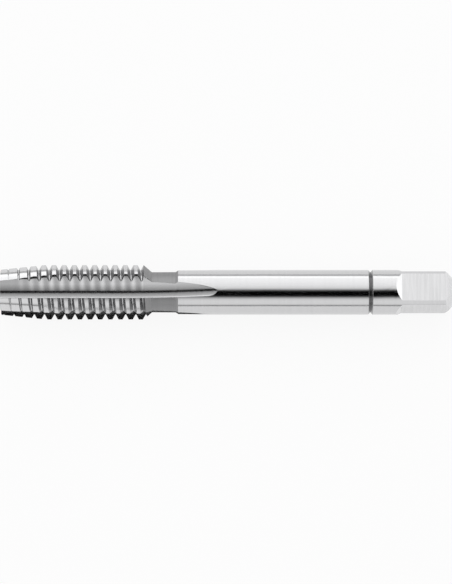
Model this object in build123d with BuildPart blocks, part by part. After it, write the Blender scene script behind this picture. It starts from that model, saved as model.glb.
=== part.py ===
from build123d import *
import math
import os

# Hand tap for a 3/8 in, 16 per inch thread: the first, tapered tap of a set.
# All sizes are in millimetres. The axis of the tap is X: x = 0 is the flat end
# of the cutting tip, and x grows towards the driving square.

# Blank
overall_length = 70.4
shank_diameter = 7.0
neck_diameter = 6.5
neck_start = 23.6
neck_end = 27.3
shoulder_chamfer_length = 0.4

# Thread
thread_pitch = 25.4 / 16
thread_angle = 60.0
crest_diameter = 8.7
root_diameter = 7.20
root_flat = 0.10
thread_end = 22.3
thread_relief = 0.20
tip_diameter = 7.3
lead_length = 7.0
lead_relief = 0.45
groove_offset = -0.10
groove_share = 0.8
tip_edge_chamfer = 0.12

# Flutes, ground straight and run out along the rim of the grinding wheel. From the
# foot of the cutting face the section is a chain of tangent arcs, (radius, turn)
flute_count = 4
flute_face_foot = 2.674
flute_arcs = (
    (0.35, 79),  # fillet under the cutting face
    (6.8, 4),
    (1.08, 16.5),  # bottom of the flute
    (9.2, 6),
    (3.31, 11.5),
    (7.7, 6),  # wall that climbs to the heel of the next land
    (6.0, 7),
)
flute_wall_length = 0.6
flute_core_radius = 2.25
face_below_centre = 0.92
flute_turn = 14.25
flute_full_length = 18.8
wheel_radius = 86.0
wheel_lift_angle = 17.0
wheel_sweep = 16.0

# Ring groove that marks the first tap of the set
ring_position = 57.65
ring_depth = 0.35
ring_angle = 90.0

# Driving square
square_across_flats = 5.45
square_length = 7.9
square_ramp_angle = 40.0
square_turn = 3.5
end_chamfer_length = 1.1
end_chamfer_depth = 1.25

# Worked out from the sizes above
tip_radius = tip_diameter / 2
crest_radius = crest_diameter / 2
root_radius = root_diameter / 2
neck_radius = neck_diameter / 2
shank_radius = shank_diameter / 2
flat_radius = square_across_flats / 2
cut_margin = 0.15
clearance = 1.0


# Turned blank: tip chamfer, crest cylinder, back chamfer, neck, shank with its ring
# groove and the chamfered end
ring_half_width = ring_depth * math.tan(math.radians(ring_angle / 2))
with BuildPart() as blank:
    with BuildSketch(Plane.XZ) as turned_profile:
        with BuildLine():
            Polyline(
                (0, 0),
                (0, tip_radius - tip_edge_chamfer),
                (crest_radius - tip_radius + tip_edge_chamfer, crest_radius),
                (thread_end, crest_radius),
                (neck_start, neck_radius),
                (neck_end, neck_radius),
                (neck_end + shoulder_chamfer_length, shank_radius),
                (ring_position - ring_half_width, shank_radius),
                (ring_position, shank_radius - ring_depth),
                (ring_position + ring_half_width, shank_radius),
                (overall_length - end_chamfer_length, shank_radius),
                (overall_length, shank_radius - end_chamfer_depth),
                (overall_length, 0),
                close=True,
            )
        make_face()
    revolve(axis=Axis.X)

# Relief: a land is ground about an axis of its own, a little off the axis of the tap,
# so that it falls away from its cutting edge to its heel
edge_turn = math.radians(flute_turn) + math.asin(face_below_centre / crest_radius)
off_axis = Vector(0, math.cos(edge_turn), math.sin(edge_turn))

# Lead: what the grinding wheel takes off one land, outside a cone about that axis
cone_start = math.hypot(tip_radius, lead_relief)
cone_slope = (math.hypot(crest_radius, lead_relief) - cone_start) / lead_length
cone_end = lead_length + lead_relief / cone_slope
outer_reach = crest_radius + clearance
with BuildPart() as lead_cut:
    with BuildSketch(Plane.XZ):
        with BuildLine():
            Polyline(
                (-clearance, cone_start - cone_slope * clearance),
                (cone_end, cone_start + cone_slope * cone_end),
                (cone_end, outer_reach + lead_relief),
                (-clearance, outer_reach + lead_relief),
                close=True,
            )
        make_face()
    revolve(axis=Axis.X, revolution_arc=360 / flute_count)

# Thread groove: a V with a narrow flat at its root, carried along the helix. Each
# piece crosses one land and ends in the flutes on both sides of it
quarter_pitch = thread_pitch / flute_count
groove_radius = math.hypot(root_radius, thread_relief)
groove_depth = crest_radius + cut_margin + thread_relief - root_radius
root_half_width = root_flat / 2
mouth_half_width = root_half_width + groove_depth * math.tan(math.radians(thread_angle / 2))
with BuildPart() as land_groove:
    with BuildLine():
        helix = Helix(
            pitch=thread_pitch,
            height=groove_share * quarter_pitch,
            radius=groove_radius,
            direction=(1, 0, 0),
        )
    with BuildSketch(Plane(helix @ 0, x_dir=(1, 0, 0), z_dir=helix % 0)):
        with BuildLine():
            Polyline(
                (-root_half_width, 0),
                (root_half_width, 0),
                (mouth_half_width, groove_depth),
                (-mouth_half_width, groove_depth),
                close=True,
            )
        make_face()
    sweep(path=helix, is_frenet=True)

# Flute cutter. The section is drawn looking along X with the cutting face level: the
# face, the chain of arcs and the straight end of the wall. Past the full depth it
# swings about the axle of the grinding wheel, so the flute runs out in a shallow curve
lift = Vector(0, math.sin(math.radians(wheel_lift_angle)), math.cos(math.radians(wheel_lift_angle)))
wheel_axle = Axis(
    origin=Vector(flute_full_length, 0, 0) + lift * (flute_core_radius + wheel_radius),
    direction=Vector(1, 0, 0).cross(lift),
)
with BuildPart() as flute:
    section_plane = Plane(origin=(flute_full_length, 0, 0), x_dir=(0, 0, 1), z_dir=(-1, 0, 0))
    with BuildSketch(section_plane) as flute_section:
        with BuildLine():
            face = Line((outer_reach, -face_below_centre), (flute_face_foot, -face_below_centre))
            edge = face
            for radius, turn in flute_arcs:
                edge = JernArc(edge @ 1, edge % 1, radius, -turn)
            wall = PolarLine(edge @ 1, flute_wall_length, direction=edge % 1)
            mouth = Line(wall @ 1, (outer_reach, (wall @ 1).Y))
            Line(mouth @ 1, face @ 0)
        make_face()
    extrude(amount=flute_full_length + clearance)
    revolve(flute_section.sketch, axis=wheel_axle, revolution_arc=wheel_sweep)

# Cutter for one flat of the driving square, with the ramp that a milling cutter leaves
flat_start = overall_length - square_length
flat_reach = shank_radius + clearance
ramp_run = (flat_reach - flat_radius) / math.tan(math.radians(square_ramp_angle))
with BuildPart() as square_flat:
    with BuildSketch(Plane.XZ):
        with BuildLine():
            Polyline(
                (flat_start, flat_radius),
                (overall_length + clearance, flat_radius),
                (overall_length + clearance, flat_reach),
                (flat_start - ramp_run, flat_reach),
                close=True,
            )
        make_face()
    extrude(amount=flat_reach, both=True)

# The grooves follow each other round the lands like the turns of a screw, from
# one turn before the tip until they leave through the back chamfer
land_angle = 360 / flute_count
side_gap = (1 - groove_share) / 2
groove_count = math.ceil((neck_start - groove_offset) / quarter_pitch) + flute_count
grooves = []
for step in range(-flute_count, groove_count):
    on_land = land_groove.part.rotate(Axis.X, side_gap * land_angle).moved(Location(off_axis * thread_relief))
    along = groove_offset + (step + side_gap) * quarter_pitch
    grooves.append(on_land.rotate(Axis.X, step * land_angle).moved(Location((along, 0, 0))))

# Finished tap, lying with one flute straight up and one straight down
with BuildPart() as tap:
    add(blank.part)
    for index in range(flute_count):
        add(flute.part.rotate(Axis.X, flute_turn + index * land_angle), mode=Mode.SUBTRACT)
    for index in range(flute_count):
        on_land = lead_cut.part.moved(Location(off_axis * lead_relief))
        add(on_land.rotate(Axis.X, index * land_angle), mode=Mode.SUBTRACT)
    add(grooves, mode=Mode.SUBTRACT)
    for index in range(4):
        add(square_flat.part.rotate(Axis.X, index * 90 - square_turn), mode=Mode.SUBTRACT)

tap.part.label = "tap"
os.makedirs("parts", exist_ok=True)
export_step(tap.part, "parts/tap.step")
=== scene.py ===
import math
import bpy
import numpy as np
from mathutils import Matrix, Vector


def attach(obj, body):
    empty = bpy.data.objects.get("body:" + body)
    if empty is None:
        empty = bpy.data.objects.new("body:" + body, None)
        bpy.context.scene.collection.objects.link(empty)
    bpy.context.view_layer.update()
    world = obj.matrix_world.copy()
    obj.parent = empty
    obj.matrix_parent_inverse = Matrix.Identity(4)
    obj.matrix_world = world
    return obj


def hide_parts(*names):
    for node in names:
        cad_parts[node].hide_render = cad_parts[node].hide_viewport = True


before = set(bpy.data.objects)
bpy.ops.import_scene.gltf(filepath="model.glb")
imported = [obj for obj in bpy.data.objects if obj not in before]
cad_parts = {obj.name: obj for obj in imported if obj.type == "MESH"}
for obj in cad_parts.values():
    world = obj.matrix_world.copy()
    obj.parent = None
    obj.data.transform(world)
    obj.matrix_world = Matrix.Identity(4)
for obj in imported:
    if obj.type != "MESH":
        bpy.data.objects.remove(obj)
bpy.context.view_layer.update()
mm = 0.001
print("frame loaded:", ", ".join(sorted(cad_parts)))


# ---- camera

cameraSet = {
    "target": (35.15, 0.045, 0.011),  # mm, the point in the middle of the picture
    "distance": 500.0,
    "tilt": 14.25,  # degrees from straight above, towards the lower edge of the picture
    "lens": 197.5,
}


def makeCamera(s):
    tilt = math.radians(s["tilt"])
    data = bpy.data.cameras.new("camera")
    data.lens = s["lens"]
    data.sensor_width = 36.0
    data.clip_start, data.clip_end = 0.01, 10.0
    camera = bpy.data.objects.new("camera", data)
    back = Vector((0.0, -math.sin(tilt), math.cos(tilt)))
    camera.location = Vector(s["target"]) * mm + back * s["distance"] * mm
    camera.rotation_euler = (tilt, 0.0, 0.0)
    bpy.context.scene.collection.objects.link(camera)
    bpy.context.scene.camera = camera


makeCamera(cameraSet)


# ---- shader sums

class Wire:
    # one output socket; sums and products of wires add Math nodes
    def __init__(self, board, socket):
        self.board, self.socket = board, socket

    def __add__(self, other):
        return self.board.maths("ADD", self, other)

    def __sub__(self, other):
        return self.board.maths("SUBTRACT", self, other)

    def __rsub__(self, other):
        return self.board.maths("SUBTRACT", other, self)

    def __mul__(self, other):
        return self.board.maths("MULTIPLY", self, other)

    def __truediv__(self, other):
        return self.board.maths("DIVIDE", self, other)

    def __rtruediv__(self, other):
        return self.board.maths("DIVIDE", other, self)

    def __pow__(self, other):
        return self.board.maths("POWER", self, other)

    __radd__ = __add__
    __rmul__ = __mul__


class Board:
    # the node tree of one material or of the world
    def __init__(self, tree):
        self.tree = tree
        tree.nodes.clear()

    def node(self, kind, settings=None, values=None, out=0):
        # settings are set first, then each socket gets its value or its link
        made = self.tree.nodes.new(kind)
        for name, value in (settings or {}).items():
            if name == "stops":
                ramp = made.color_ramp
                ramp.elements.remove(ramp.elements[1])
                ramp.elements[0].position = value[0][0]
                ramp.elements[0].color = (*[value[0][1]] * 3, 1.0)
                for place, level in value[1:]:
                    ramp.elements.new(place).color = (level, level, level, 1.0)
            else:
                setattr(made, name, value)
        for name, value in (values or {}).items():
            if isinstance(value, Wire):
                self.tree.links.new(value.socket, made.inputs[name])
            else:
                made.inputs[name].default_value = value
        return Wire(self, made.outputs[out]) if len(made.outputs) else None

    def maths(self, operation, *values):
        return self.node("ShaderNodeMath", {"operation": operation}, dict(enumerate(values)))

    def place(self):
        # the point on the piece, as three wires, in metres
        point = self.node("ShaderNodeTexCoord", out="Object")
        split = self.node("ShaderNodeSeparateXYZ", values={0: point}).socket.node
        return [Wire(self, split.outputs[i]) for i in range(3)]

    def noise(self, x, y, z, detail=2.0, roughness=0.5):
        # 0 to 1 noise at a point given by three wires
        vector = self.node("ShaderNodeCombineXYZ", values={0: x, 1: y, 2: z})
        return self.node("ShaderNodeTexNoise", {"noise_dimensions": "3D"},
                         {"Vector": vector, "Scale": 1.0, "Detail": detail, "Roughness": roughness})

    def blend(self, factor, a, b):
        # from colour a to colour b
        return self.node("ShaderNodeMix", {"data_type": "RGBA"}, {0: factor, 6: a, 7: b}, out=2)

    def clamp(self, value):
        return self.node("ShaderNodeClamp", values={"Value": value, "Min": 0.0, "Max": 1.0})


def grey(level, tint=(1.0, 1.0, 1.0)):
    return (level * tint[0], level * tint[1], level * tint[2], 1.0)


# ---- steel finishes: each is a base tone, a roughness, and marks left by its tool; the heel bevel's near-black tone is painted shade, and the flute wall's bars are a painted reflection.
# "along" and "across" are the marks' frequencies per mm along the axis and across it.

finishes = {
    "shankGround": dict(tone=0.62, rough=0.13, along=3.2, across=0.10, toneSpan=0.03,
                        roughSpan=0.06, bump=0.05),
    "crestGround": dict(tone=0.66, rough=0.25, along=4.0, across=0.20, toneSpan=0.05,
                        roughSpan=0.08, bump=0.06),
    "threadFlank": dict(tone=0.42, rough=0.26, along=5.0, across=0.25, toneSpan=0.06,
                        roughSpan=0.08, bump=0.05),
    "fluteGround": dict(tone=0.54, rough=0.20, along=0.10, across=6.0, toneSpan=0.05,
                        roughSpan=0.08, bump=0.03),
    # fluteWall's bands sets how strongly the painted reflection shows: pale bars, with the wall painted
    # darker between them
    "fluteWall": dict(tone=0.68, rough=0.20, along=0.10, across=6.0, toneSpan=0.05,
                      roughSpan=0.08, bump=0.03, bands=0.48),
    # painted shade: the heel bevel's steel is coloured near black, so the bevel reads dark
    "heelPaintedShade": dict(tone=0.10, rough=0.35, along=5.0, across=0.25, toneSpan=0.20,
                     roughSpan=0.12, bump=0.10),
    "rootGround": dict(tone=0.60, rough=0.18, along=5.0, across=0.25, toneSpan=0.05,
                       roughSpan=0.08, bump=0.04),
    "leadGround": dict(tone=0.66, rough=0.12, along=4.0, across=0.20, toneSpan=0.04,
                       roughSpan=0.06, bump=0.05),
    "neckTurned": dict(tone=0.30, rough=0.48, along=5.0, across=0.12, toneSpan=0.10,
                       roughSpan=0.12, bump=0.20),
    "ringCut": dict(tone=0.34, rough=0.22, along=6.0, across=0.12, toneSpan=0.10,
                    roughSpan=0.12, bump=0.20),
    "squareGround": dict(tone=0.63, rough=0.20, along=3.6, across=0.14, toneSpan=0.10,
                         roughSpan=0.14, bump=0.15),
    "endTurned": dict(tone=0.72, rough=0.22, along=4.0, across=4.0, toneSpan=0.10,
                      roughSpan=0.12, bump=0.15),
}
steelTint = (1.0, 1.0, 1.012)
tapPitch = 25.4 / 16


# the painted reflection's bars across a flute's wall: where they start, how narrow they are, and where they
# fade in (mm)
wallReflectionBars = {
    "from": 0.17,
    "narrow": 1.6,
    "fadeStart": 1.5,
    "fadeLength": 5.0,
    "darkShare": 0.15,
}


def makeSteel(name, s):
    material = bpy.data.materials.new(name)
    material.use_nodes = True
    board = Board(material.node_tree)
    x, y, z = board.place()
    along, across = s["along"] / mm, s["across"] / mm
    coarse = board.noise(x * along, y * across, z * across, 2.0, 0.6)
    fine = board.noise(x * (along * 3.7) + 11.0, y * (across * 3.0), z * (across * 3.0), 3.0, 0.7)
    cloud = board.noise(x * (0.25 / mm), y * (0.25 / mm) + 7.0, z * (0.25 / mm), 2.0, 0.5)
    marks = coarse * 0.6 + fine * 0.4
    tone = board.clamp((marks - 0.5) * 2.2 + 0.5)
    colour = board.blend(tone, grey(s["tone"] * (1 - s["toneSpan"]), steelTint),
                         grey(s["tone"] * (1 + s["toneSpan"]), steelTint))
    if "bands" in s:
        # painted reflection: paler bars that stand for the next land's teeth mirrored in the wall, one a
        # pitch, with the wall painted darker between them: their phase is x over the pitch plus the turn
        turn = board.maths("ARCTAN2", y, z) / (2 * math.pi)
        phase = (x / mm - wallReflectionBars["from"]) / tapPitch + turn
        reflectionBar = (board.maths("COSINE", phase * (2 * math.pi)) * 0.5 + 0.5) ** wallReflectionBars["narrow"]
        inside = board.clamp((x / mm - wallReflectionBars["fadeStart"]) / wallReflectionBars["fadeLength"])
        dark = grey(s["tone"] * wallReflectionBars["darkShare"], steelTint)
        colour = board.blend((1.0 - reflectionBar * inside) * s["bands"], colour, dark)
    rough = board.clamp((fine - 0.5) * s["roughSpan"] + (cloud - 0.5) * 0.08 + s["rough"])
    normal = board.node("ShaderNodeBump", values={"Strength": s["bump"], "Distance": 0.004 * mm,
                                                  "Height": marks})
    shader = board.node("ShaderNodeBsdfPrincipled", values={
        "Base Color": colour, "Metallic": 1.0, "Roughness": rough, "Normal": normal})
    board.node("ShaderNodeOutputMaterial", values={"Surface": shader})
    return material


# ---- the tap

tapSet = {
    "length": 70.4,
    "shankRadius": 3.5,
    # turned outline from the tip, (x, radius)
    "outline": [(0.0, 3.53), (0.82, 4.35), (22.3, 4.35), (23.6, 3.25), (27.3, 3.25), (27.7, 3.5),
                (57.3, 3.5), (57.65, 3.15), (58.0, 3.5), (69.3, 3.5), (70.4, 2.25)],
    "lead": ((0.0, 3.65), (7.0, 4.35)),  # radius at the cutting edges over the lead
    "leadRelief": 0.45,  # how far the lead's own axis stands off the tap's, so a land falls to its heel
    "threadRelief": 0.20,
    "pitch": tapPitch,
    "rootRadius": 3.60,
    "rootFlat": 0.10,
    "flankAngle": 30.0,
    "threadStart": 0.12,
    "threadEnd": 22.3,
    "grooveOffset": -0.10,
    "chamferEnd": 23.6,
    "neckEnd": 27.3,
    "shoulderEnd": 27.7,
    # flute section, seen from the tip end, from the top of the cutting face: (turn in degrees, radius),
    # or (0, length) where it is straight
    "flutes": 4,
    "faceTop": 5.35,
    "faceDepth": 0.92,
    "section": [(0, 2.79), (80, 0.25), (3.5, 8.9), (20, 1.35), (4.5, 9.5), (9, 3.6), (6, 7.2), (7, 6.0),
                (0, 1.5)],
    "edgeAngle": 63.6,  # of a cutting edge, from straight up
    "fluteTurn": -14.25,
    "fluteFullLength": 18.8,
    "wheelRadius": 86.0,
    "fluteCore": 2.25,
    "wheelLift": 17.0,
    # square end
    "flatDistance": 2.725,
    "flatTurn": 3.5,
    "flatStart": 62.5,
    "rampAngle": 40.0,
    "endChamferStart": 69.3,
    "ring": (57.3, 57.65, 58.0),
    # faces
    "fluteColumns": 54,
    "landColumns": 22,
    "cornerColumns": 5,
    "wallColumn": 35,  # the first column of the flute's wall
    "heelBevel": (0.30, 0.20),  # at the crest: down the flute's wall, and along the land
    "heelRound": 0.2,
    "heelStart": (2.2, 5.0),  # the bevel grows between these places
    "heelLeast": 0.04,  # its share before the first
    "leadTurns": 5,  # turns of the thread with the lead's finish
    "plainHeelTurns": 2,  # turns whose heel keeps the land's finish, without the heel's painted shade
    "blendLength": 7.0,  # over which the flutes' columns turn to the square's
    "squareSpread": 34.0,  # degrees each side of a flat's middle
}


def fluteSection(s, q):
    # the flute's section at parameter q, as (z, y) in its own frame: straights and arcs, each tangent to
    # the last. q grows by a mix of length and turning, so tight arcs get more points.
    perLength, perTurn = 2.5, 11.5
    z, y, heading, start = s["faceTop"], -s["faceDepth"], math.pi, 0.0
    for turn, radius in s["section"]:
        turn = math.radians(turn)
        long = turn * radius if turn else radius
        step = long * perLength + turn * perTurn
        if q is not None:
            share = np.clip((q - start) / step, 0.0, 1.0)
            if turn:
                now = heading - turn * share
                z = z + radius * (math.sin(heading) - np.sin(now))
                y = y + radius * (np.cos(now) - math.cos(heading))
            else:
                z, y = z + math.cos(heading) * long * share, y + math.sin(heading) * long * share
        heading, start = heading - turn, start + step
    return start if q is None else (z, y)


def flutePoint(s, q, x):
    # past the full length the section climbs along the lift direction as the wheel's circle does:
    # climb = rho - sqrt(rho squared - a squared), rho = distance from the axle, a = x past the full length
    z, y = fluteSection(s, q)
    lift = math.radians(s["wheelLift"])
    dz, dy = math.cos(lift), math.sin(lift)
    axle = s["fluteCore"] + s["wheelRadius"]
    rho = axle - (z * dz + y * dy)
    a = np.maximum(x - s["fluteFullLength"], 0.0)
    climb = rho - np.sqrt(rho * rho - a * a)
    return z + dz * climb, y + dy * climb


def fluteRadius(s, q, x):
    z, y = flutePoint(s, q, x)
    return np.hypot(z, y)


def deepest(s, x):
    # the parameter of the flute's deepest point at each x
    q = np.linspace(0.0, fluteSection(s, None), 1200)
    grid = fluteRadius(s, q[None, :], x.reshape(-1, 1))
    return q[np.argmin(grid, axis=1)].reshape(x.shape), grid.min(axis=1).reshape(x.shape)


def fluteEdge(s, x, radius, side, middle):
    # halves the span between the flute's deepest point and its outer end until the section's radius
    # there is the outer surface's
    inner = np.array(middle, float) + np.zeros_like(x)
    outer = np.zeros_like(x) + (0.0 if side < 0 else fluteSection(s, None))
    for _ in range(40):
        half = (inner + outer) / 2
        inside = fluteRadius(s, half, x) < radius
        inner = np.where(inside, half, inner)
        outer = np.where(inside, outer, half)
    return (inner + outer) / 2


def grooveCentre(s, turnIndex, angle):
    # a right-handed helix: x falls by one pitch for each full turn of the angle
    return s["grooveOffset"] + (turnIndex - angle / 360.0) * s["pitch"]


def outlineRadius(s, x):
    points = np.array(s["outline"])
    return np.interp(x, points[:, 0], points[:, 1])


def relieved(s, radius, offset, angle):
    # a round about an axis set off by `offset`, through the cutting edge at `radius`: it falls to the heel
    past = np.radians((s["edgeAngle"] + 10.0 - angle) % 90.0 - 10.0)
    return np.sqrt(radius ** 2 + (offset * np.sin(past)) ** 2) - offset * np.sin(past)


def envelopeRadius(s, x, angle):
    # the turned outline, or the relieved lead where that is lower; the lead's own cone is straight
    (x0, r0), (x1, r1) = s["lead"]
    offset = s["leadRelief"]
    own0, own1 = math.hypot(r0, offset), math.hypot(r1, offset)
    own = own0 + (own1 - own0) * (x - x0) / (x1 - x0)
    lead = relieved(s, np.sqrt(np.maximum(own ** 2 - offset ** 2, 1.0)), offset, angle)
    return np.minimum(outlineRadius(s, x), lead)


def grooveRadius(s, distance, angle):
    # the root's radius, plus the distance from its flat over the flank angle's tangent
    slope = math.tan(math.radians(s["flankAngle"]))
    radius = s["rootRadius"] + np.maximum(distance - s["rootFlat"] / 2, 0.0) / slope
    return relieved(s, radius, s["threadRelief"], angle)


def surfaceRadius(s, x, angle):
    # the envelope, or the thread groove where that is lower
    offset = (x - grooveCentre(s, 0.0, angle)) / s["pitch"]
    distance = np.abs(offset - np.round(offset)) * s["pitch"]
    radius = envelopeRadius(s, x, angle)
    return np.where(x <= s["chamferEnd"], np.minimum(radius, grooveRadius(s, distance, angle)), radius)


def crestEdge(s, centre, angle, side):
    # distance from a groove's centre to the crest's edge on one side, by halving
    low, high = np.zeros_like(centre) + s["rootFlat"] / 2 + 0.01, np.zeros_like(centre) + s["pitch"] / 2
    for _ in range(30):
        half = (low + high) / 2
        x = np.clip(centre + side * half, s["threadStart"], s["threadEnd"])
        inside = grooveRadius(s, half, angle) < envelopeRadius(s, x, angle)
        low, high = np.where(inside, half, low), np.where(inside, high, half)
    return (low + high) / 2


# rows of one pitch: (part of the profile, share along it)
threadRows = ([(0, 0.0), (0, 1.0)] + [(1, t) for t in (0.3, 0.62, 0.94)]
              + [(2, t) for t in (0.0, 0.12, 0.5, 0.88, 1.0)]
              + [(3, t) for t in (0.06, 0.38, 0.7)])


def threadX(s, turnIndex, part, share, angle):
    # x of the thread's rows at an angle: each row keeps its place on the groove's profile, which goes
    # root flat, flank, crest, flank
    centre = grooveCentre(s, turnIndex, angle)
    half = s["rootFlat"] / 2
    after = crestEdge(s, centre, angle, 1)
    before = s["pitch"] - crestEdge(s, centre + s["pitch"], angle, -1)
    starts = [-half + 0 * centre, half + 0 * centre, after, before]
    ends = starts[1:] + [s["pitch"] - half + 0 * centre]
    part = part + np.zeros(centre.shape, int)
    a, b = np.choose(part, starts), np.choose(part, ends)
    return np.clip(centre + a + (b - a) * share, s["threadStart"], s["threadEnd"])


def ring(s, rowX, rows, middle):
    # one band of rows round the tap: in each quarter the flute's columns, then the land's.
    # rowX gives x for (row, angle); the last column is the first one a full turn further on.
    angles = []
    for side in (-1, 1):
        quarters = np.arange(s["flutes"] + 1)[None, :] * 90.0
        angle = quarters + (20.0 * side) + np.zeros((rows, 1))
        for _ in range(8):  # the edge's angle and its x settle together
            x = rowX(angle)
            q = fluteEdge(s, x, surfaceRadius(s, x, angle), side, middle)
            z, y = flutePoint(s, q, x)
            angle = np.degrees(np.arctan2(y, z)) + s["fluteTurn"] + quarters
        angles.append((angle, x, q))
    (cut, cutX, cutQ), (heel, heelX, heelQ) = angles
    corner = s["cornerColumns"]
    bands = []
    for k in range(s["flutes"]):
        x0, q0, x1, q1 = [v[:, k:k + 1] for v in (cutX, cutQ, heelX, heelQ)]
        start, end = heel[:, k:k + 1], cut[:, k + 1:k + 2]
        # the bevel reaches further along a crest than along a flank, and less far down the wall
        away = (x1 - grooveCentre(s, 0.0, start)) / s["pitch"]
        away = np.abs(away - np.round(away))
        size = np.interp(x1, [*s["heelStart"], s["threadEnd"], s["chamferEnd"]],
                         [s["heelLeast"], 1.0, 1.0, 0.03])
        share = 1.0 - s["heelBevel"][0] * size * (1.3 - 0.9 * away) * 3.6 / (q1 - q0)
        t = np.linspace(0.0, 1.0, s["fluteColumns"] - corner + 1)[None, :] * share
        z, y = flutePoint(s, q0 + (q1 - q0) * t, x0 + (x1 - x0) * t)
        wall = turned(x0 + (x1 - x0) * t, z, y, s["fluteTurn"] + 90.0 * k)
        t = np.linspace(0.0, 1.0, s["landColumns"] - corner + 1)[None, :]
        start = start + np.degrees(s["heelBevel"][1] * size * (0.4 + 1.3 * away) / s["rootRadius"])
        angle = start + (end - start) * t
        x = rowX(angle)
        land = polar(x, surfaceRadius(s, x, angle), angle)
        z, y = flutePoint(s, q1, x1)
        edge = turned(x1, z, y, s["fluteTurn"] + 90.0 * k)
        bands += [wall[:, :-1], heelCorner(s, wall[:, -1:], edge, land[:, :1]), land[:, :-1]]
    return np.concatenate(bands, axis=1)


def heelCorner(s, a, edge, b):
    # the bevel at a heel, from a in the flute to b on the land: the chord, pulled towards the sharp edge
    # by a share of the curve (1-t) squared a + 2t(1-t) edge + t squared b
    t = np.linspace(0.0, 1.0, 2 * s["cornerColumns"] + 1)[None, :-1, None]
    chord = a + (b - a) * t
    curve = (1 - t) ** 2 * a + 2 * t * (1 - t) * edge + t ** 2 * b
    return chord + (curve - chord) * s["heelRound"]


def polar(x, radius, angle):
    a = np.radians(angle)
    x, radius = x + 0 * a, radius + 0 * a
    return np.stack([x, radius * np.sin(a), radius * np.cos(a)], axis=-1)


def turned(x, z, y, angle):
    a = math.radians(angle)
    return np.stack([x, y * math.cos(a) + z * math.sin(a), z * math.cos(a) - y * math.sin(a)], axis=-1)


def squareRing(s, x, centre, spread, flat):
    # planar rows past the flutes: the first columns cover `spread` degrees each side of the centre, on a
    # flat at the distance `flat` or, where flat is 0, on the round; the others cover the rest of the quarter
    x, centre, spread, flat = [np.asarray(v, float).reshape(-1, 1) for v in (x, centre, spread, flat)]
    radius = outlineRadius(s, x)
    bands = []
    for k in range(4):
        t = np.linspace(-1.0, 1.0, s["fluteColumns"] + 1)[None, :-1]
        onFlat = np.degrees(np.arctan(t * np.tan(np.radians(spread))))
        angle = np.where(flat > 0, onFlat, spread * t)
        r = np.where(flat > 0, flat / np.cos(np.radians(angle)), radius)
        bands.append(polar(x, r, angle + centre + 90.0 * k))
        t = np.linspace(0.0, 1.0, s["landColumns"] + 1)[None, :-1]
        angle = centre + spread + (90.0 - 2 * spread) * t + 90.0 * k
        bands.append(polar(x, radius, angle))
    return np.concatenate(bands, axis=1)


def zones(land, flute, wall=None, heel=None):
    # the finishes of one row, in the order of the zones
    return [flute, wall or flute, heel or wall or flute, heel or land, land]


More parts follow.
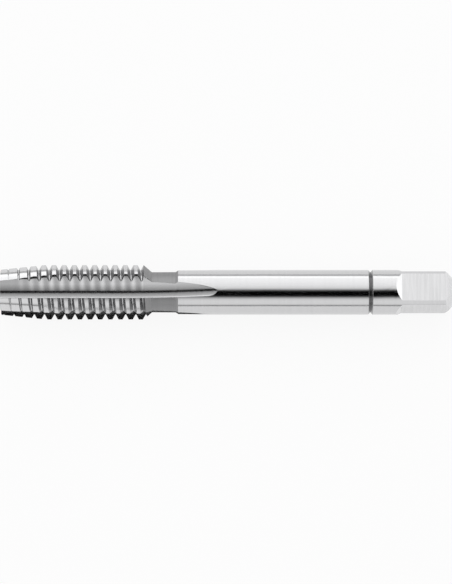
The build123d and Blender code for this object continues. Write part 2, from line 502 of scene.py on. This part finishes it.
def makeTap(s):
    perTurn = len(threadRows)
    columns = 4 * (s["fluteColumns"] + s["landColumns"])
    # the zones of a quarter: the flute's floor and wall, the bevel's two halves, and the land
    corner, flute = s["cornerColumns"], s["fluteColumns"]
    limits = [s["wallColumn"], flute - corner, flute, flute + corner]
    zone = np.searchsorted(limits, np.arange(columns) % (columns // 4), side="right")
    names = list(finishes)
    grids, indices, kinds = [], [], []  # points, their numbers with merges, and the finish below each row
    count = 0

    def addBand(points, number, kind):
        nonlocal count
        grids.append(points.reshape(-1, 3))
        indices.append(number + count)
        kinds.extend(kind)
        count += points.shape[0] * points.shape[1]

    # threads: helical rows held between the tip chamfer and the back chamfer
    specs = [(g, part, share) for g in range(-2, 18) for part, share in threadRows]
    turnIndex, part, share = [np.array(v)[:, None] for v in zip(*specs)]

    lowest = deepest(s, np.array([0.0]))[0][0]
    points = ring(s, lambda angle: threadX(s, turnIndex, part, share, angle), len(specs), lowest)
    number = np.arange(points.shape[0] * columns).reshape(-1, columns)
    rowIndex = np.arange(points.shape[0])[:, None] + np.zeros((1, columns), int)
    atStart = (points[:, :, 0] <= s["threadStart"]).sum(axis=0) - 1
    atEnd = points.shape[0] - (points[:, :, 0] >= s["threadEnd"]).sum(axis=0)
    number = number[np.clip(rowIndex, atStart, atEnd), np.arange(columns)]
    # the seam: one turn on, a row meets the row one pitch lower
    seam = number[np.maximum(np.arange(points.shape[0]) - perTurn, 0), 0][:, None]
    threadKinds = []
    for g, row, place in specs:
        kind = "threadFlank"
        if row == 2 and place < 1.0:
            kind = "leadGround" if g < s["leadTurns"] else "crestGround"
        isRoot = row == 0 and place < 1.0
        kind = "rootGround" if isRoot else kind
        # past the first turns, heel bevels away from the roots get the near-black painted shade
        heel = kind if isRoot or g < s["plainHeelTurns"] else "heelPaintedShade"
        threadKinds.append(zones(kind, "fluteGround", "fluteWall", heel))

    # tip chamfer, before the threads
    tipX = np.array([0.0, 0.04, 0.08])
    tip = ring(s, lambda angle: tipX[:, None] + 0 * angle, len(tipX), lowest)
    tipNumber = np.arange(tip.shape[0] * columns).reshape(-1, columns)
    addBand(tip, np.concatenate([tipNumber, tipNumber[:, :1]], axis=1),
            [zones("endTurned", "fluteGround", "fluteWall")] * len(tipX))
    addBand(points, np.concatenate([number, seam], axis=1), threadKinds)

    # back chamfer, neck, shoulder and the flutes' run-out, up to the point where a flute leaves the shank
    lo, hi = s["shoulderEnd"], 40.0
    for _ in range(50):
        half = (lo + hi) / 2
        lo, hi = (half, hi) if deepest(s, np.array([half]))[1][0] < s["shankRadius"] else (lo, half)
    runOut = lo
    back = np.linspace(s["threadEnd"], s["chamferEnd"], 19)[1:]
    neck = np.linspace(s["chamferEnd"], s["neckEnd"], 13)[1:]
    shoulder = np.linspace(s["neckEnd"], s["shoulderEnd"], 3)[1:]
    t = np.linspace(0.0, 1.0, 34)[1:-1]
    leaving = runOut - (runOut - s["shoulderEnd"]) * (1.0 - t) ** 2
    xs = np.concatenate([back, neck, shoulder, leaving])
    middle = deepest(s, xs)[0][:, None]
    points = ring(s, lambda angle: xs[:, None] + 0 * angle, len(xs), middle)
    number = np.arange(points.shape[0] * columns).reshape(-1, columns)
    kind = ([zones("neckTurned", "fluteGround")] * (len(back) + len(neck) + len(shoulder) - 1)
            + [zones("shankGround", "fluteGround")] * (len(leaving) + 1))
    kinds[-1] = zones("neckTurned", "fluteGround")
    addBand(points, np.concatenate([number, number[:, :1]], axis=1), kind)

    # shank and square
    z, y = flutePoint(s, deepest(s, np.array([runOut]))[0], runOut)
    leave = float(np.degrees(np.arctan2(y, z))[0]) + s["fluteTurn"]
    rampRise = s["shankRadius"] - s["flatDistance"]
    rampStart = s["flatStart"] - rampRise / math.tan(math.radians(s["rampAngle"]))
    wide, blendLength = s["squareSpread"], s["blendLength"]
    rows = [(runOut, leave, 0.0, 0.0, "shankGround")]
    for x in np.linspace(runOut, runOut + blendLength, 15)[1:]:
        u = (x - runOut) / blendLength
        spread = wide * (0.02 * u + 0.98 * u * u * (3 - 2 * u))  # smooth, and never quite flat
        rows.append((x, leave + (s["flatTurn"] - leave) * u, spread, 0.0, "shankGround"))
    for x in np.linspace(runOut + blendLength, s["ring"][0], 5)[1:]:
        rows.append((x, s["flatTurn"], wide, 0.0, "shankGround"))
    rows[-1] = (*rows[-1][:4], "ringCut")
    rows.append((s["ring"][1], s["flatTurn"], wide, 0.0, "ringCut"))
    rows.append((s["ring"][2], s["flatTurn"], wide, 0.0, "shankGround"))
    for x in np.linspace(s["ring"][2], rampStart, 9)[1:-1]:
        u = (rampStart - x) / (rampStart - s["ring"][2])
        rows.append((x, s["flatTurn"], wide * u * u * (3 - 2 * u), 0.0, "shankGround"))
    rows.append((rampStart, s["flatTurn"], 0.0, 0.0, "square"))
    for t in np.linspace(0.0, 1.0, 15)[1:]:
        x = rampStart + (s["flatStart"] - rampStart) * t * t
        flat = s["flatDistance"] + (s["flatStart"] - x) * math.tan(math.radians(s["rampAngle"]))
        spread = math.degrees(math.acos(min(flat / s["shankRadius"], 1.0)))
        rows.append((x, s["flatTurn"], spread, flat, "square"))
    full = rows[-1][2]
    for x in np.linspace(s["flatStart"], s["endChamferStart"], 4)[1:]:
        rows.append((x, s["flatTurn"], full, s["flatDistance"], "square"))
    rows[-1] = (*rows[-1][:4], "end")
    (x0, r0), (x1, r1) = s["outline"][-2:]
    gone = x0 + (r0 - s["flatDistance"]) / (r0 - r1) * (x1 - x0)  # where the end cone clears the flats
    for t in np.linspace(0.0, 1.0, 15)[1:-1]:
        x = gone - (gone - x0) * (1 - t) ** 2
        spread = math.degrees(math.acos(s["flatDistance"] / float(outlineRadius(s, x))))
        rows.append((x, s["flatTurn"], spread, s["flatDistance"], "end"))
    rows.append((gone, s["flatTurn"], 0.0, 0.0, "endTurned"))
    for x in np.linspace(gone, x1, 5)[1:]:
        rows.append((x, s["flatTurn"], wide * (x - gone) / (x1 - gone), 0.0, "endTurned"))
    columnsOf = list(zip(*rows))
    points = squareRing(s, *columnsOf[:4])
    number = np.arange(points.shape[0] * columns).reshape(-1, columns)
    quarter = columns // 4
    for i, row in enumerate(rows):
        if row[2] == 0.0:  # the flat's or the flute's columns meet in one point
            for k in range(4):
                at = k * quarter
                number[i, at:at + s["fluteColumns"]] = number[i, at + s["fluteColumns"]]
    finish = {"square": ("shankGround", "squareGround"), "end": ("endTurned", "squareGround")}
    addBand(points, np.concatenate([number, number[:, :1]], axis=1),
            [zones(*finish.get(row[4], (row[4], row[4]))) for row in rows])

    vertices = np.concatenate(grids) * mm
    index = np.concatenate(indices)
    kind = np.array([[names.index(name) for name in row] for row in kinds])
    finishOf = kind[:-1][:, zone].ravel()
    around = [index[:-1, :-1], index[1:, :-1], index[1:, 1:], index[:-1, 1:]]
    quads = np.stack(around, axis=-1).reshape(-1, 4)
    caps = [index[0, :-1], index[-1, :-1][::-1]]
    return meshFrom("tap", vertices, quads, finishOf, caps, names.index("endTurned"))


sharpAngle = 8.0  # degrees between faces, past which an edge is sharp


def meshFrom(name, vertices, quads, finishOf, caps, capFinish):
    # drops sides of no length, so a four-sided face may become a triangle or go, then fills the mesh
    keep = quads != np.roll(quads, -1, axis=1)
    size = keep.sum(axis=1)
    good = size > 2
    quads, keep, size, finishOf = quads[good], keep[good], size[good], finishOf[good]
    loops = quads[keep]
    capLoops = [cap[cap != np.roll(cap, -1)] for cap in caps]
    loops = np.concatenate([loops, *capLoops])
    size = np.concatenate([size, [len(c) for c in capLoops]])
    finishOf = np.concatenate([finishOf, [capFinish] * len(capLoops)])
    used, loops = np.unique(loops, return_inverse=True)
    vertices = vertices[used]
    mesh = bpy.data.meshes.new(name)
    mesh.vertices.add(len(vertices))
    mesh.vertices.foreach_set("co", vertices.astype(np.float32).ravel())
    mesh.loops.add(len(loops))
    mesh.loops.foreach_set("vertex_index", loops.astype(np.int32))
    mesh.polygons.add(len(size))
    starts = np.concatenate([[0], np.cumsum(size)[:-1]])
    mesh.polygons.foreach_set("loop_start", starts.astype(np.int32))
    for finish in finishes:
        mesh.materials.append(makeSteel(finish, finishes[finish]))
    mesh.polygons.foreach_set("material_index", finishOf.astype(np.int32))
    mesh.update(calc_edges=True)
    mesh.validate()
    mesh.polygons.foreach_set("use_smooth", np.ones(len(mesh.polygons), bool))
    mesh.set_sharp_from_angle(angle=math.radians(sharpAngle))
    return mesh


tapPiece = bpy.data.objects.new("threadTap", makeTap(tapSet))
bpy.context.scene.collection.objects.link(tapPiece)
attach(tapPiece, "root")
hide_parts("tap")
mesh = tapPiece.data
edgeUse = np.zeros(len(mesh.edges), int)
edgeOf = np.zeros(len(mesh.loops), np.int32)
mesh.loops.foreach_get("edge_index", edgeOf)
np.add.at(edgeUse, edgeOf, 1)
openEdges = int((edgeUse != 2).sum())
print("tap:", len(mesh.vertices), "vertices,", len(mesh.polygons), "faces, open edges:", openEdges)


# ---- studio

studioSet = {
    "floorLevel": -3.965,  # mm, just under the threads
    "floorSize": 1600.0,
    "worldLight": 0.9,
    "reach": 620.0,  # mm from the tap's axis to a card
    "length": 900.0,
    "middle": 35.0,  # x of the middle of the cards
    # lamp card: (degrees from straight up, towards the back, and its brightness there)
    "lamp": [(0, 1.0), (12, 1.05), (20, 1.2), (30, 1.26), (40, 1.33), (55, 1.4), (63, 1.45), (68, 1.65),
             (76.0, 1.65), (78.5, 0.9), (82, 0.6), (90, 0.5)],
    # a card past each end of the tap: how far out, back and up, its size and brightness
    "endAt": (680.0, 170.0, 120.0),
    "endSize": (360.0, 220.0),
    "endLevel": 1.7,
    # black flag round the camera: how much it hides
    "flag": [(-90, 0.75), (-85, 0.6), (-80, 0.12), (-76, 0.0), (-58, 0.0), (-50, 0.12), (-42, 0.5),
             (-36, 0.93), (-30, 1.0), (-10, 1.0), (-4, 0.85), (2, 0.35), (8, 0.0)],
    "floorPaint": 0.8,
    "floorShare": 0.88,  # how much of the floor is plain white to camera and metal; the rest is lit
}


def shares(stops):
    # the stops with their places as shares of the whole span
    first, last = stops[0][0], stops[-1][0]
    return [((place - first) / (last - first), level) for place, level in stops]


def card(name, points, faces, build):
    # a card that the camera does not see
    mesh = bpy.data.meshes.new(name)
    mesh.from_pydata((points * mm).tolist(), [], faces)
    material = bpy.data.materials.new(name)
    material.use_nodes = True
    build(Board(material.node_tree))
    mesh.materials.append(material)
    made = bpy.data.objects.new(name, mesh)
    made.visible_camera = False
    bpy.context.scene.collection.objects.link(made)
    return made


def strip(name, s, stops, reach, build, columns=16):
    # part of a cylinder round the tap's axis, between the angles of the first and the last stop
    angle = np.radians(np.linspace(stops[0][0], stops[-1][0], columns + 1))
    ends = np.array([-0.5, 0.5]) * s["length"] + s["middle"]
    x, a = np.meshgrid(ends, angle, indexing="ij")
    points = np.stack([x, reach * np.sin(a), reach * np.cos(a)], axis=-1).reshape(-1, 3)
    number = np.arange(len(points)).reshape(2, -1)
    faces = np.stack([number[0, :-1], number[0, 1:], number[1, 1:], number[1, :-1]], axis=-1).tolist()
    made = card(name, points, faces, lambda board: build(board, shares(stops)))
    mesh = made.data
    uv = mesh.uv_layers.new(name="across")
    share = np.stack([x * 0, (a - angle[0]) / (angle[-1] - angle[0])], axis=-1).reshape(-1, 2)
    corner = np.zeros(len(mesh.loops), np.int32)
    mesh.loops.foreach_get("vertex_index", corner)
    uv.data.foreach_set("uv", share[corner].astype(np.float32).ravel())
    return made


def across(board):
    uv = board.node("ShaderNodeTexCoord", out="UV")
    split = board.node("ShaderNodeSeparateXYZ", values={0: uv}).socket.node
    return Wire(board, split.outputs[1])


def glow(board, stops):
    # a lamp card: its brightness across the card follows the stops
    halved = [(place, level / 2) for place, level in stops]  # a ramp holds no more than 1
    ramp = board.node("ShaderNodeValToRGB", {"stops": halved}, {0: across(board)})
    light = board.node("ShaderNodeEmission", values={"Strength": ramp * 2.0})
    board.node("ShaderNodeOutputMaterial", values={"Surface": light})


def shade(board, stops):
    # a black flag with soft edges: the stops give how much it hides
    hide = board.node("ShaderNodeValToRGB", {"stops": stops}, {0: across(board)})
    clear = board.node("ShaderNodeBsdfTransparent")
    black = board.node("ShaderNodeEmission", values={"Color": (0, 0, 0, 1), "Strength": 0.0})
    both = board.node("ShaderNodeMixShader", values={0: hide, 1: clear, 2: black})
    board.node("ShaderNodeOutputMaterial", values={"Surface": both})


def plainLight(level):
    def build(board):
        light = board.node("ShaderNodeEmission", values={"Strength": level})
        board.node("ShaderNodeOutputMaterial", values={"Surface": light})
    return build


def seenWhite(board):
    # 1 on the rays of the camera, of a mirror and through glass, so that all of them see the white
    path = board.node("ShaderNodeLightPath").socket.node
    rays = [Wire(board, path.outputs[f"Is {kind} Ray"]) for kind in ("Camera", "Glossy", "Transmission")]
    return board.maths("MINIMUM", rays[0] + rays[1] + rays[2], 1.0)


def makeStudio(s):
    # lamp card above and behind the tap, and a black flag round the camera
    lamp = strip("lampCard", s, s["lamp"], s["reach"], glow)
    lamp.visible_shadow = False
    flag = strip("flagCard", s, s["flag"], s["reach"] - 20.0, shade)
    flag.visible_diffuse = False
    flag.visible_shadow = False

    far, back, up = s["endAt"]
    wide, high = s["endSize"]
    for side in (-1, 1):
        corners = [(s["middle"] + side * far, back + i * wide / 2, up + j * high / 2) for i, j in
                   ((-1, -1), (1, -1), (1, 1), (-1, 1))]
        made = card("endCard", np.array(corners), [(0, 1, 2, 3)], plainLight(s["endLevel"]))
        made.visible_shadow = False

    # floor: white to the camera, with the tap's shadow kept
    size = s["floorSize"] * mm / 2
    mesh = bpy.data.meshes.new("floor")
    z = s["floorLevel"] * mm
    corners = [(i * size, j * size, z) for i, j in ((-1, -1), (1, -1), (1, 1), (-1, 1))]
    mesh.from_pydata(corners, [], [(0, 1, 2, 3)])
    material = bpy.data.materials.new("floor")
    material.use_nodes = True
    board = Board(material.node_tree)
    plain = board.node("ShaderNodeBsdfDiffuse", values={"Color": grey(s["floorPaint"])})
    white = board.node("ShaderNodeEmission", values={"Color": (1, 1, 1, 1), "Strength": 1.0})
    share = seenWhite(board) * s["floorShare"]
    both = board.node("ShaderNodeMixShader", values={0: share, 1: plain, 2: white})
    board.node("ShaderNodeOutputMaterial", values={"Surface": both})
    mesh.materials.append(material)
    floor = bpy.data.objects.new("floor", mesh)
    bpy.context.scene.collection.objects.link(floor)

    world = bpy.data.worlds.new("studio")
    bpy.context.scene.world = world
    world.use_nodes = True
    board = Board(world.node_tree)
    level = seenWhite(board) * (1.0 - s["worldLight"]) + s["worldLight"]
    sky = board.node("ShaderNodeBackground", values={"Color": (1, 1, 1, 1), "Strength": level})
    board.node("ShaderNodeOutputWorld", values={"Surface": sky})


makeStudio(studioSet)
bpy.context.scene.view_settings.view_transform = "Standard"
print("studio made")
